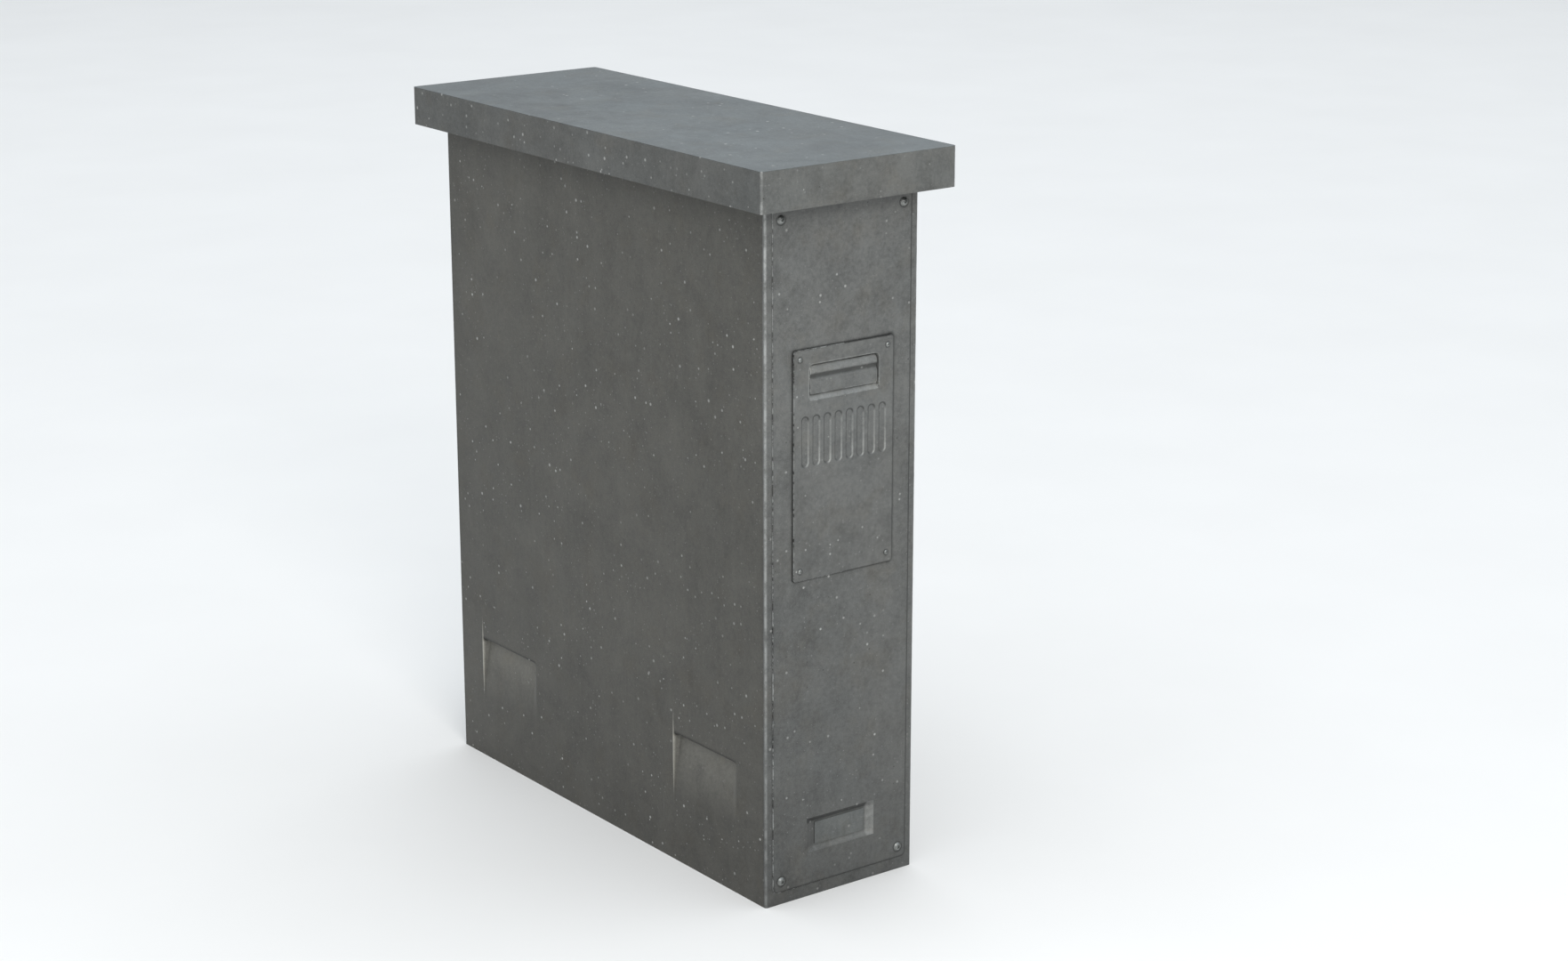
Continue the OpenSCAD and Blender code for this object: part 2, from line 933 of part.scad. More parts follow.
module bin_tub() {
    color(plastic)
        difference() {
            intersection() {
                tub_plan(0);
                side_profile(-cart_half - 5, cart_half + 5)
                    tub_side(0, 0);
            }
            intersection() {
                tub_plan(-tub_t);
                side_profile(-cart_half - 5, cart_half + 5)
                    tub_side(tub_t, 40);
            }
        }
}

module rim_bead() {
    color(plastic)
        intersection() {
            difference() {
                tub_plan(bead_t);
                tub_plan(0);
            }
            side_profile(-cart_half - 5, cart_half + 5)
                polygon([[cart_front - 5, tub_front_rim - bead_h], [slope_from + 2, tub_front_rim - bead_h],
                    [slope_to + 2, tub_back_rim - bead_h], [cart_back + 5, tub_back_rim - bead_h],
                    [cart_back + 5, tub_back_rim], [slope_to, tub_back_rim],
                    [slope_from, tub_front_rim], [cart_front - 5, tub_front_rim]]);
        }
}

module caster_plates() {
    color(steel) {
        for (y = [swivel_y, rigid_y])
            both_sides()
                block(caster_x - 26, caster_x + 26, y - 30, y + 30, chassis_z - 2.5, chassis_z);
        both_sides()
            translate([caster_x, swivel_y, crown_z + 0.3])
                cylinder(r = 5, h = chassis_z - crown_z - 1);
    }
}

// Fork with the wheel centre at x = 0, y = 0 and its crown over y = lead
module fork(lead) {
    difference() {
        union() {
            block(-13.5, 13.5, min(0, lead) - 11, max(0, lead) + 11, crown_z, crown_z + 2.6);
            both_sides()
                side_profile(11, 13.5)
                    polygon([[min(0, lead) - 11, crown_z + 1], [max(0, lead) + 11, crown_z + 1],
                        [9, axle_z - 8], [-9, axle_z - 8]]);
        }
        x_rod(0, axle_z, axle_r, -20, 20);
    }
}

module rigid_forks() {
    color(steel)
        both_sides()
            translate([caster_x, rigid_y, 0]) {
                fork(0);
                block(-13.5, 13.5, -11, 11, crown_z + 2.6 - eps, chassis_z - 2.5);
            }
}

module rear_axles() {
    color(steel)
        both_sides()
            translate([caster_x, rigid_y, 0])
                axle();
}

module axle() {
    x_rod(0, axle_z, axle_r, -13.5, 13.5);
    both_sides()
        x_rod(0, axle_z, 6.5, 13.5, 16.5);
}

module swivel_fork() {
    color(steel)
        difference() {
            translate([caster_x, swivel_y, 0]) {
                translate([0, trail, 0])
                    fork(-trail);
                translate([0, 0, crown_z + 2.6 - eps])
                    cylinder(r = 16, h = 3.4);
            }
            translate([caster_x, swivel_y, crown_z - 1])
                cylinder(r = 5 + fit, h = 12);
        }
}

module swivel_fork_right() {
    swivel_fork();
}

module swivel_fork_left() {
    mirror([1, 0, 0])
        swivel_fork();
}

module front_axle_right() {
    color(steel)
        translate([caster_x, swivel_y + trail, 0])
            axle();
}

module front_axle_left() {
    mirror([1, 0, 0])
        front_axle_right();
}

// Wheel with a rounded tread, turning on the axle
module wheel() {
    color(rubber)
        translate([0, 0, axle_z])
            rotate([0, 90, 0])
                difference() {
                    union() {
                        cylinder(r = wheel_radius, h = 15, center = true, $fn = 72);
                        cylinder(r = wheel_radius - 1.5, h = 18, center = true, $fn = 72);
                        cylinder(r = 9, h = 21.6, center = true);
                    }
                    cylinder(r = axle_r + fit, h = 30, center = true);
                    for (s = [-1, 1])
                        translate([0, 0, s * 8.5])
                            difference() {
                                cylinder(r = 19, h = 2, center = true);
                                cylinder(r = 10, h = 3, center = true);
                            }
                }
}

module wheel_front_right() {
    translate([caster_x, swivel_y + trail, 0])
        wheel();
}

module wheel_front_left() {
    translate([-caster_x, swivel_y + trail, 0])
        wheel();
}

module wheel_rear_right() {
    translate([caster_x, rigid_y, 0])
        wheel();
}

module wheel_rear_left() {
    translate([-caster_x, rigid_y, 0])
        wheel();
}

// ---------- sprung floor ----------

module platform_plan(h, w, l) {
    translate([0, cart_mid, 0])
        linear_extrude(h)
            round_rect(w, l, 18);
}

module platform_pan() {
    w = cart_width - 16;
    l = cart_length - 26;
    color(paint_dark)
        translate([0, 0, platform_height - 22])
            difference() {
                platform_plan(22, w, l);
                translate([0, 0, -1])
                    platform_plan(23 - platform_t, w - 4, l - 4);
            }
}

module platform_pad() {
    color(rubber)
        translate([0, 0, platform_height])
            platform_plan(pad_t, cart_width - 20, cart_length - 30);
}

module platform_springs() {
    low = tub_floor + tub_t;
    rise = platform_height - platform_t - low;
    color(steel)
        for (y = [cart_mid - 280, cart_mid + 280])
            both_sides()
                translate([80, y, low])
                    linear_extrude(rise, twist = -360 * spring_turns, slices = spring_turns * 12,
                        $fn = 6)
                        translate([14, 0])
                            scale([1, 2.4])
                                circle(r = 1.8);
}

// ---------- assembly ----------

base_pan();
side_left();
side_right();
front_frame();
rear_frame();
lid();
lid_gasket();
lid_studs();
front_panel();
label_plate();
panel_screws();
panel_nuts();
hopper_seal();
hinge_brackets();
bracket_nuts();
hinge_rod();
baffle();
baffle_nuts();
stop_bumpers();
deflector_left();
deflector_right();
rear_seal();
frame_hinge_leaves();
rear_hinge_pins();
lock_keeper();
hopper_face();
grip_insert();
face_screws();
cheek_left();
cheek_right();
hopper_tray();
hinge_bushes();
door_skin();
door_stiffener();
door_hinge_leaves();
lock_body();
t_handle();
lock_spindle();
lock_cam();
cam_nut();
cart_base();
bin_tub();
rim_bead();
caster_plates();
rigid_forks();
rear_axles();
platform_springs();
swivel_fork_left();
swivel_fork_right();
front_axle_left();
front_axle_right();
wheel_front_left();
wheel_front_right();
wheel_rear_left();
wheel_rear_right();
platform_pan();
platform_pad();
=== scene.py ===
import math

import bpy
import numpy as np
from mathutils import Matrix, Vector


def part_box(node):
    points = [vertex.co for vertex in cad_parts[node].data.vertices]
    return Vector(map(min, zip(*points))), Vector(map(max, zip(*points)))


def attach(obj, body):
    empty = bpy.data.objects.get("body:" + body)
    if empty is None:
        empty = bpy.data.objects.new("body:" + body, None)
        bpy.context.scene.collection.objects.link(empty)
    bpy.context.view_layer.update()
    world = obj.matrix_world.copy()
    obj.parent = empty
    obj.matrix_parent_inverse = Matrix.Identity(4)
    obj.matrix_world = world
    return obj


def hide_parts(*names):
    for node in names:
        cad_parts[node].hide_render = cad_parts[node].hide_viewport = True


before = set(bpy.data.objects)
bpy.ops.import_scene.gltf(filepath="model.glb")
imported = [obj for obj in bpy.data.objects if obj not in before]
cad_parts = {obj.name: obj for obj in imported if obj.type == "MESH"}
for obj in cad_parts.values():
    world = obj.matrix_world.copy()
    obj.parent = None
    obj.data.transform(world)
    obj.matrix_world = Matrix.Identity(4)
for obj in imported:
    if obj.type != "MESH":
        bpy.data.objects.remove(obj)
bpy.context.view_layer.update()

MM = 0.001
scene = bpy.context.scene
scene.view_settings.view_transform = "Standard"

# ---------------------------------------------------------------- materials


class Shader:
    """A Principled material with short calls for the nodes used here."""

    def __init__(self, name, **sockets):
        self.mat = bpy.data.materials.new(name)
        self.mat.use_nodes = True
        self.tree = self.mat.node_tree
        self.bsdf = self.tree.nodes["Principled BSDF"]
        for key, value in sockets.items():
            self.bsdf.inputs[key.replace("_", " ")].default_value = value
        self.coord = self.tree.nodes.new("ShaderNodeTexCoord").outputs["Object"]

    def add(self, kind, **props):
        node = self.tree.nodes.new(kind)
        for key, value in props.items():
            setattr(node, key, value)
        return node

    def put(self, socket, value):
        if isinstance(value, bpy.types.NodeSocket):
            self.tree.links.new(value, socket)
        else:
            socket.default_value = value

    def stretch(self, scale, offset=(0, 0, 0), turn=(0, 0, 0)):
        node = self.add("ShaderNodeMapping")
        node.inputs["Scale"].default_value = scale
        node.inputs["Location"].default_value = offset
        node.inputs["Rotation"].default_value = turn
        self.put(node.inputs["Vector"], self.coord)
        return node.outputs["Vector"]

    def noise(self, scale, detail=4.0, rough=0.55, vector=None, warp=0.0):
        node = self.add("ShaderNodeTexNoise")
        node.inputs["Scale"].default_value = scale
        node.inputs["Detail"].default_value = detail
        node.inputs["Roughness"].default_value = rough
        node.inputs["Distortion"].default_value = warp
        self.put(node.inputs["Vector"], self.coord if vector is None else vector)
        return node.outputs["Fac"]

    def span(self, value, a, b, c=0.0, d=1.0, kind="LINEAR"):
        node = self.add("ShaderNodeMapRange", clamp=True, interpolation_type=kind)
        self.put(node.inputs["Value"], value)
        for key, number in (("From Min", a), ("From Max", b), ("To Min", c), ("To Max", d)):
            self.put(node.inputs[key], number)
        return node.outputs["Result"]

    def math(self, op, a, b=0.0):
        node = self.add("ShaderNodeMath", operation=op)
        self.put(node.inputs[0], a)
        self.put(node.inputs[1], b)
        return node.outputs[0]

    def total(self, *values):
        out = values[0]
        for value in values[1:]:
            out = self.math("ADD", out, value)
        return out

    def mix(self, factor, a, b, mode="MIX"):
        node = self.add("ShaderNodeMix", data_type="RGBA", blend_type=mode)
        for socket, value in ((node.inputs["Factor"], factor), (node.inputs[6], a), (node.inputs[7], b)):
            if isinstance(value, tuple) and len(value) == 3:
                value = (*value, 1.0)
            self.put(socket, value)
        return node.outputs[2]

    def dots(self, scale, size, share, offset):
        """Round spots: one cell in `share` holds a spot of `size` cells."""
        node = self.add("ShaderNodeTexVoronoi", feature="F1")
        node.inputs["Scale"].default_value = scale
        node.inputs["Randomness"].default_value = 1.0
        self.put(node.inputs["Vector"], self.stretch((1, 1, 1), offset))
        pick = self.add("ShaderNodeSeparateColor")
        self.put(pick.inputs[0], node.outputs["Color"])
        here = self.math("GREATER_THAN", pick.outputs[0], 1.0 - share)
        big = self.span(pick.outputs[1], 0, 1, size * 0.45, size)
        near = self.span(self.math("DIVIDE", node.outputs["Distance"], big), 0.55, 1.0, 1.0, 0.0)
        return self.math("MULTIPLY", here, near)

    def height(self):
        node = self.add("ShaderNodeSeparateXYZ")
        self.put(node.inputs[0], self.coord)
        return node.outputs["Z"]

    def wear(self):
        return self.add("ShaderNodeAttribute", attribute_name="wear").outputs["Fac"]

    def tone(self):
        return self.add("ShaderNodeAttribute", attribute_name="tone").outputs["Fac"]

    def near_corner(self, x, y, reach=0.0042):
        """1 on the upright corner lines at (+-x, +-y) metres, 0 beyond `reach`."""
        node = self.add("ShaderNodeSeparateXYZ")
        self.put(node.inputs[0], self.coord)
        squares = []
        for axis, at in (("X", x), ("Y", y)):
            off = self.math("SUBTRACT", self.math("ABSOLUTE", node.outputs[axis]), at)
            squares.append(self.math("MULTIPLY", off, off))
        gap = self.math("SQRT", self.total(*squares))
        return self.span(gap, 0.0012, reach, 1.0, 0.0)

    def finish(self, color, rough=None, bumps=()):
        self.put(self.bsdf.inputs["Base Color"], color)
        if rough is not None:
            self.put(self.bsdf.inputs["Roughness"], rough)
        normal = None
        for value, depth, strength in bumps:
            node = self.add("ShaderNodeBump")
            node.inputs["Distance"].default_value = depth
            node.inputs["Strength"].default_value = strength
            self.put(node.inputs["Height"], value)
            if normal is not None:
                self.put(node.inputs["Normal"], normal)
            normal = node.outputs["Normal"]
        if normal is not None:
            self.put(self.bsdf.inputs["Normal"], normal)
        return self.mat


# what shows on or through the paint
GRIME = (0.045, 0.042, 0.036)
PIT = (0.035, 0.033, 0.028)
SPECK = (0.44, 0.44, 0.42)
DUST = (0.36, 0.36, 0.35)
NICK = (0.34, 0.34, 0.33)
BITTEN = (0.36, 0.37, 0.36)
# pale paint on the upright corners: rubbed paint and a painted highlight of the rounded corner
RUBBED_AND_SHEEN = (0.50, 0.51, 0.50)


def weathered(name, tone, worn=0.0, foot=0.0, cool=(0.0, 0.0, 0.0), chips=1.0, corner=None, seed=0.0,
              sides=None, roof=None):
    """Old satin grey paint on sheet steel. `worn` is edge wear everywhere on the material,
    `foot` is how much painted shade darkens the paint towards the ground, and `corner` is the x and y of
    upright corners that get rubbed paint and a painted highlight. `sides` is painted shade that darkens
    what lies past that |x|, and what lies above `roof` is tinted cooler as painted sky light."""
    s = Shader(name, Metallic=0.35)
    broad = s.noise(5.0, 5.0, 0.6)
    cloud = s.noise(26.0, 6.0, 0.62)
    fine = s.noise(150.0, 4.0, 0.6)
    grain = s.noise(950.0, 2.0, 0.5)
    streak = s.noise(1.0, 4.0, 0.6, s.stretch((70.0, 70.0, 2.2)))
    drip = s.noise(1.0, 3.0, 0.5, s.stretch((16.0, 16.0, 1.1), (3.1, 1.7, 0.4)))
    blotch = s.noise(11.0, 6.0, 0.7, s.stretch((1, 1, 1), (7, 1, 3)), warp=0.6)
    tint = s.noise(7.0, 5.0, 0.6, s.stretch((1, 1, 1), (5.0, 2.0, 1.0)))
    level = s.total(
        s.span(broad, 0.3, 0.7, -0.10, 0.10), s.span(cloud, 0.3, 0.7, -0.15, 0.15),
        s.span(fine, 0.3, 0.7, -0.15, 0.15), s.span(grain, 0.25, 0.75, -0.20, 0.20),
        s.span(streak, 0.3, 0.7, -0.03, 0.03), s.span(drip, 0.35, 0.7, 0.02, -0.05),
        s.span(blotch, 0.3, 0.7, -0.14, 0.14), 1.0)
    # the tone attribute holds the painted shade and painted highlights of the pressed sheets
    level = s.math("MULTIPLY", level, s.math("ADD", 1.0, s.tone()))
    # painted shade: what lies past |x| = sides is painted 22 % darker
    if sides:
        node = s.add("ShaderNodeSeparateXYZ")
        s.put(node.inputs[0], s.coord)
        past = s.math("ABSOLUTE", node.outputs["X"])
        level = s.math("MULTIPLY", level, s.span(past, sides - 0.001, sides, 1.0, 0.78))
    # painted shade: the paint is darker towards the ground
    if foot:
        level = s.math("MULTIPLY", level, s.span(s.height(), 0.0, 0.9, 1.0 - foot, 1.0))
    color = s.mix(s.span(tint, 0.35, 0.65), tuple(tone), tuple(c + k for c, k in zip(tone, cool)))
    color = s.mix(s.span(s.noise(14.0, 5.0, 0.65, s.stretch((1, 1, 1), (9, 4, 7))), 0.52, 0.72, 0.0, 0.35),
                  color, (tone[0] * 0.92, tone[1] * 0.83, tone[2] * 0.70))
    shade = s.add("ShaderNodeVectorMath", operation="SCALE")
    s.put(shade.inputs[0], color)
    s.put(shade.inputs["Scale"], level)
    color = shade.outputs[0]
    # painted sky light: what lies above roof is tinted cooler
    if roof:
        color = s.mix(s.span(s.height(), roof - 0.0008, roof), color, (0.93, 1.0, 1.06), "MULTIPLY")
    stains = s.math("MULTIPLY", s.span(cloud, 0.60, 0.74), s.span(fine, 0.46, 0.62))
    color = s.mix(s.math("MULTIPLY", stains, 0.45 * chips), color, GRIME)
    pits = s.dots(95.0, 0.17, 0.05, (4.1, 2.2, 8.3))
    color = s.mix(s.math("MULTIPLY", pits, 0.7 * chips), color, PIT)
    patch = s.span(s.noise(6.0, 4.0, 0.6, s.stretch((1, 1, 1), (3, 8, 2))), 0.38, 0.62, 0.25, 1.0)
    specks = s.math("MULTIPLY", s.dots(62.0, 0.21, 0.30, (0.3 + seed, 7.7, 1.9)), patch)
    dust = s.math("MULTIPLY", s.dots(150.0, 0.30, 0.24, (6.3 + seed, 0.7, 2.9)), patch)
    color = s.mix(s.math("MULTIPLY", specks, 0.85 * chips), color, SPECK)
    color = s.mix(s.math("MULTIPLY", dust, 0.4 * chips), color, DUST)
    scratch = s.noise(1.0, 3.0, 0.6, s.stretch((900, 900, 30), (1, 5, 2), (0.5, 0.35, 0)))
    nicks = s.math("MULTIPLY", s.span(scratch, 0.69, 0.75), s.span(broad, 0.50, 0.62))
    color = s.mix(s.math("MULTIPLY", nicks, 0.4 * chips), color, NICK)
    edge = s.math("ADD", s.wear(), worn)
    bite = s.total(s.math("MULTIPLY", edge, 0.50), s.noise(120.0, 5.0, 0.7),
                   s.span(cloud, 0.3, 0.7, -0.12, 0.12))
    bitten = s.span(bite, 0.90, 1.02)
    color = s.mix(s.math("MULTIPLY", bitten, 0.85), color, BITTEN)
    # rubbed paint and a painted highlight along the upright corners, brighter higher up
    if corner:
        patchy = s.span(s.noise(34.0, 5.0, 0.75), 0.38, 0.58, 0.18, 1.0)
        rub = s.math("MULTIPLY", s.near_corner(*corner), patchy)
        rub = s.math("MULTIPLY", rub, s.span(s.height(), 0.0, 1.15, 0.30, 1.0))
        color = s.mix(rub, color, RUBBED_AND_SHEEN)
    rough = s.total(s.span(cloud, 0.3, 0.7, 0.42, 0.56), s.span(fine, 0.3, 0.7, -0.04, 0.05),
                    s.math("MULTIPLY", bitten, -0.1))
    waves = s.noise(2.6, 2.0, 0.4, s.stretch((1, 1, 0.7), (2, 2, 2)))
    bumps = [(waves, 0.012, 0.25), (cloud, 0.0012, 0.25), (fine, 0.0005, 0.35),
             (s.total(s.math("MULTIPLY", specks, 1.0), s.math("MULTIPLY", pits, -1.0),
                      s.math("MULTIPLY", bitten, -0.6)), 0.0004, 0.6)]
    return s.finish(color, rough, bumps)


def inside_paint(name, tone):
    s = Shader(name, Metallic=0.2)
    cloud = s.noise(30.0, 5.0, 0.6)
    fine = s.noise(260.0, 3.0, 0.6)
    rub = s.span(s.noise(1.0, 4.0, 0.6, s.stretch((40, 90, 40), (2, 1, 4))), 0.58, 0.70, 0.0, 0.5)
    level = s.total(s.span(cloud, 0.3, 0.7, -0.12, 0.12), s.span(fine, 0.3, 0.7, -0.06, 0.06), 1.0)
    shade = s.add("ShaderNodeVectorMath", operation="SCALE")
    s.put(shade.inputs[0], (*tone,))
    s.put(shade.inputs["Scale"], level)
    color = s.mix(rub, shade.outputs[0], tuple(min(1.0, c * 1.9) for c in tone))
    color = s.mix(s.math("MULTIPLY", s.dots(80.0, 0.14, 0.08, (1, 2, 3)), 0.6), color, (0.3, 0.3, 0.29))
    return s.finish(color, s.span(cloud, 0.3, 0.7, 0.40, 0.55), [(fine, 0.0004, 0.4), (cloud, 0.001, 0.2)])


def metal(name, tone, rough=0.34, brush=(30, 900, 900), dull=0.4, metallic=0.95):
    s = Shader(name, Metallic=metallic)
    lines = s.noise(1.0, 3.0, 0.6, s.stretch(brush))
    cloud = s.noise(90.0, 5.0, 0.6)
    color = s.mix(s.span(cloud, 0.35, 0.7, 0.0, dull), tuple(tone), tuple(c * 0.45 for c in tone))
    color = s.mix(s.span(s.noise(340.0, 4.0, 0.6), 0.60, 0.72, 0.0, 0.6), color, (0.10, 0.075, 0.055))
    return s.finish(color, s.total(s.span(cloud, 0.3, 0.7, rough - 0.06, rough + 0.12),
                                   s.span(lines, 0.3, 0.7, -0.05, 0.05)),
                    [(lines, 0.0002, 0.35), (cloud, 0.0005, 0.3)])


def soft(name, tone, grain=700.0, rough=0.75, depth=0.0003):
    s = Shader(name)
    fine = s.noise(grain, 4.0, 0.6)
    cloud = s.noise(40.0, 4.0, 0.6)
    color = s.mix(s.span(cloud, 0.35, 0.7, 0.0, 0.6), tuple(tone), tuple(c * 1.6 + 0.01 for c in tone))
    color = s.mix(s.span(s.noise(18.0, 5.0, 0.7), 0.55, 0.75, 0.0, 0.35), color, (0.12, 0.115, 0.10))
    return s.finish(color, s.span(cloud, 0.3, 0.7, rough - 0.1, rough + 0.1), [(fine, depth, 0.6)])


def ribbed(name, tone):
    s = Shader(name)
    wave = s.add("ShaderNodeTexWave", wave_type="BANDS", bands_direction="X")
    wave.inputs["Scale"].default_value = 32.0
    s.put(wave.inputs["Vector"], s.coord)
    fine = s.noise(500.0, 4.0, 0.6)
    ridge = wave.outputs["Fac"]
    color = s.mix(s.span(ridge, 0.0, 1.0, 0.0, 0.5), tuple(tone), tuple(c * 2.2 + 0.01 for c in tone))
    color = s.mix(s.span(s.noise(22.0, 5.0, 0.7), 0.5, 0.75, 0.0, 0.4), color, (0.14, 0.13, 0.12))
    return s.finish(color, s.span(fine, 0.3, 0.7, 0.65, 0.85), [(ridge, 0.0012, 0.8), (fine, 0.0003, 0.5)])


BODY_CORNER = (0.150, 0.4625)
LID_CORNER = (0.189, 0.5065)
GREY = (0.150, 0.151, 0.143)
COOL = (-0.003, 0.000, 0.003)
# the front and side paints are darker towards the ground as painted shade
FRONT = weathered("paint_front", GREY, foot=0.36, cool=COOL, corner=BODY_CORNER)
FRONT_EDGE = weathered("paint_front_edge", GREY, worn=0.8, foot=0.36, cool=COOL, corner=BODY_CORNER)
# the side paint is the body grey painted darker and warmer as painted shade on the side faces
SIDE_SHADED = weathered("paint_side_shaded", (0.093, 0.090, 0.079), foot=0.16, corner=BODY_CORNER, seed=0.0437)
# the lid's side skirts get painted shade and its top a cooler painted sky light
LID = weathered("paint_lid", (0.146, 0.146, 0.136), cool=(-0.003, 0.001, 0.004), corner=LID_CORNER,
                roof=1.2096, sides=0.1886)
# the lid's bevels are painted lighter: edge wear and a painted highlight on the rounded edges
LID_EDGE = weathered("paint_lid_edge", (0.170, 0.172, 0.168), worn=0.62, corner=LID_CORNER)
LABEL = weathered("paint_label", (0.120, 0.125, 0.120), cool=COOL, chips=1.2)
INNER = inside_paint("paint_inner", (0.16, 0.165, 0.16))
SCREW = metal("screw_steel", (0.30, 0.31, 0.30), rough=0.42, dull=0.6)
ZINC = metal("zinc_steel", (0.55, 0.56, 0.57), rough=0.34)
CHROME = metal("lock_chrome", (0.62, 0.63, 0.64), rough=0.24, dull=0.25, brush=(200, 200, 900))
SPRING = metal("spring_steel", (0.20, 0.21, 0.22), rough=0.38, dull=0.5)
BRONZE = metal("bush_bronze", (0.50, 0.34, 0.16), rough=0.40)
RUBBER = soft("rubber_black", (0.022, 0.022, 0.023))
TYRE = soft("tyre_rubber", (0.040, 0.040, 0.041), grain=420.0)
TUB = soft("tub_plastic", (0.060, 0.095, 0.150), grain=900.0, rough=0.5, depth=0.0002)
PAD = ribbed("pad_rubber", (0.030, 0.031, 0.033))

# ---------------------------------------------------------------- pressed sheets


def ease(x):
    x = np.clip(x, 0.0, 1.0)
    return x * x * (3.0 - 2.0 * x)


def graded(lo, hi, marks, fine, coarse, growth=0.3):
    """Grid lines from lo to hi, `fine` apart beside a mark and `coarse` apart far from one."""
    marks = sorted(m for m in marks if lo < m < hi) + [hi]
    out = [lo]
    x = lo
    while x < hi - 1e-6:
        near = min(min(abs(x - m) for m in marks), x - lo + 1e-9)
        ahead = min(m - x for m in marks if m > x + 1e-6)
        step = min(coarse, fine + growth * near, max(fine, 0.5 * ahead))
        if ahead <= step * 1.3:
            step = ahead
        x += step
        out.append(x)
    return np.array(out)


def box_gap(u, v, half_u, low, high, r):
    """Signed distance to a rounded rectangle, negative inside."""
    mid = (low + high) / 2
    qu = np.abs(u) - (half_u - r)
    qv = np.abs(v - mid) - ((high - low) / 2 - r)
    return np.hypot(np.maximum(qu, 0), np.maximum(qv, 0)) + np.minimum(np.maximum(qu, qv), 0) - r


def round_corners(u, v, half_u, low, high, r):
    """Bends the corner cells of a grid onto arcs of radius r."""
    mid, half_v = (low + high) / 2, (high - low) / 2
    a = np.clip((np.abs(u) - (half_u - r)) / r, 0, 1)
    b = np.clip((np.abs(v - mid) - (half_v - r)) / r, 0, 1)
    both = (a > 0) & (b > 0)
    na = a * np.sqrt(1 - b * b / 2)
    nb = b * np.sqrt(1 - a * a / 2)
    nu = np.where(both, np.sign(u) * (half_u - r + na * r), u)
    nv = np.where(both, mid + np.sign(v - mid) * (half_v - r + nb * r), v)
    return nu, nv


def pressed(name, body, material, us, vs, place, front, back, wear, tone, skip=None, bend=None):
    """A closed sheet: a front surface and a back surface given as depths over a grid, joined
    round every edge. `place` turns (u, v, depth) in millimetres into x, y, z."""
    u, v = np.meshgrid(us, vs, indexing="ij")
    if bend is not None:
        u, v = bend(u, v)
    nu, nv = u.shape
    df = front(u, v)
    pts = np.concatenate([np.stack(place(u, v, d), -1).reshape(-1, 3) for d in (df, back(u, v, df))]) * MM
    half = nu * nv
    index = np.arange(half).reshape(nu, nv)
    a, b, c, d = index[:-1, :-1], index[1:, :-1], index[1:, 1:], index[:-1, 1:]
    cells = np.stack([a, b, c, d], -1).reshape(-1, 4)
    if skip is not None:
        mu, mv = np.meshgrid((us[:-1] + us[1:]) / 2, (vs[:-1] + vs[1:]) / 2, indexing="ij")
        cells = cells[~skip(mu, mv).reshape(-1)]
    edges = np.concatenate([cells[:, [0, 1]], cells[:, [1, 2]], cells[:, [2, 3]], cells[:, [3, 0]]])
    keys = {}
    for p, q in edges.tolist():
        keys[(p, q)] = 1
    rim = [(p, q) for p, q in keys if (q, p) not in keys]
    faces = cells.tolist() + (cells[:, ::-1] + half).tolist()
    faces += [[q, p, p + half, q + half] for p, q in rim]
    mesh = bpy.data.meshes.new(name)
    used = np.unique(np.array(faces))
    remap = np.full(len(pts), -1)
    remap[used] = np.arange(len(used))
    mesh.from_pydata(pts[used].tolist(), [], [[int(remap[i]) for i in f] for f in faces])
    mesh.validate()
    mesh.update()
    for key, field in (("wear", wear), ("tone", tone)):
        amount = np.concatenate([field(u, v).reshape(-1)] * 2)[used]
        mesh.attributes.new(key, "FLOAT", "POINT").data.foreach_set("value", amount.astype(np.float32))
    mesh.polygons.foreach_set("use_smooth", [True] * len(mesh.polygons))
    mesh.set_sharp_from_angle(angle=math.radians(48))
    piece = bpy.data.objects.new(name, mesh)
    scene.collection.objects.link(piece)
    mesh.materials.append(material)
    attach(piece, body)
    return piece


def rolled_edge(gap, r):
    """How far a sheet's face falls away at its edge, rounded to radius r."""
    inside = np.clip(-gap, 0, r)
    return r - np.sqrt(np.maximum(r * r - (r - inside) ** 2, 0))


def mm_box(node):
    lo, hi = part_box(node)
    return [c / MM for c in lo], [c / MM for c in hi]


def facing_front(y_face):
    return lambda u, v, d: (u, y_face + d, v)


# hopper face: dish for the grip, eight flutes
lo, hi = mm_box("hopper_face")
FACE_Y = lo[1]
HALF, LOW, HIGH = hi[0], lo[2], hi[2]
DISH = dict(half=69.0, low=832.0, high=890.0, depth=6.0, sill=9.0)
FLUTES = dict(low=726.0, high=809.0, r=7.5, pitch=153 / 7, depth=1.8)
FLUTE_X = [(i - 3.5) * FLUTES["pitch"] for i in range(8)]
FACE_SCREWS = [(x, z) for x in (-86.5, 86.5) for z in (558, 900)]


def flute_gap(u, v):
    best = np.full(u.shape, 1e3)
    top, foot = FLUTES["high"] - FLUTES["r"], FLUTES["low"] + FLUTES["r"]
    along = np.maximum(np.maximum(v - top, foot - v), 0)
    for x in FLUTE_X:
        best = np.minimum(best, np.hypot(u - x, along) - FLUTES["r"])
    return best


def face_depth(u, v):
    edge = rolled_edge(box_gap(u, v, HALF, LOW, HIGH, 5.0), 0.9)
    gap = -box_gap(u, v, DISH["half"], DISH["low"] - 4, DISH["high"], 8.0)
    sill = np.clip((v - DISH["low"]) / DISH["sill"], 0, 1) * DISH["depth"]
    dish = np.minimum(sill, DISH["depth"] * ease(gap / 1.5))
    flute = FLUTES["depth"] * ease(-flute_gap(u, v) / 2.6)
    holes = 0.5 * sum(ease((5.4 - np.hypot(u - x, v - z)) / 1.2) for x, z in FACE_SCREWS)
    return edge + dish + flute + holes


